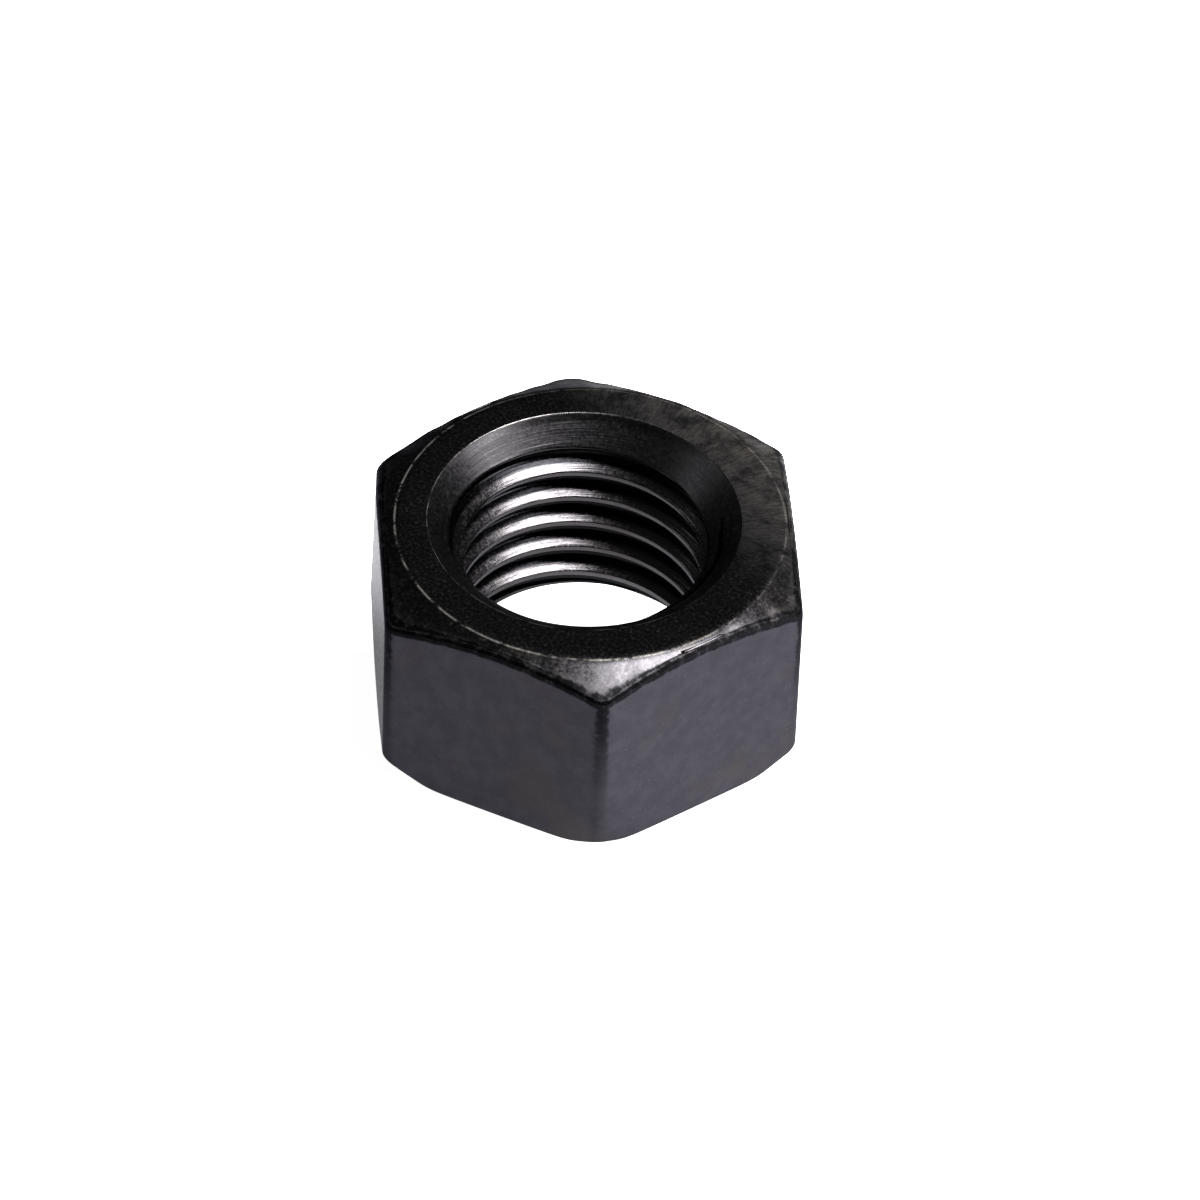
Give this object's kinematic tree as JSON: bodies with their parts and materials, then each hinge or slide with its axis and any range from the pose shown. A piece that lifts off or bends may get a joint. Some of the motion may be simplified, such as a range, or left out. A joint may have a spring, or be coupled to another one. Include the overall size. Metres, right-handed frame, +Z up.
{
  "type": "hex nut",
  "caption": "Plain hexagonal nut with a chamfer and a countersink at both ends and a right-hand coarse internal thread, in black oxide steel.",
  "frame": {"origin": "centre of the lower bearing face, on the bore's axis", "axes": "+Z up along the bore, from the lower bearing face to the upper one; two opposite corners of the hexagon on the X axis; two wrench flats facing +Y and -Y"},
  "size_m": [0.0274, 0.024, 0.013],
  "materials": {
    "black_oxide_steel": "black oxide over turned and forged steel, lightly oiled, satin; bare metal shows on worn edges and thread crests"
  },
  "bodies": {
    "root": {"hex_nut": "black_oxide_steel"}
  },
  "joints": []
}
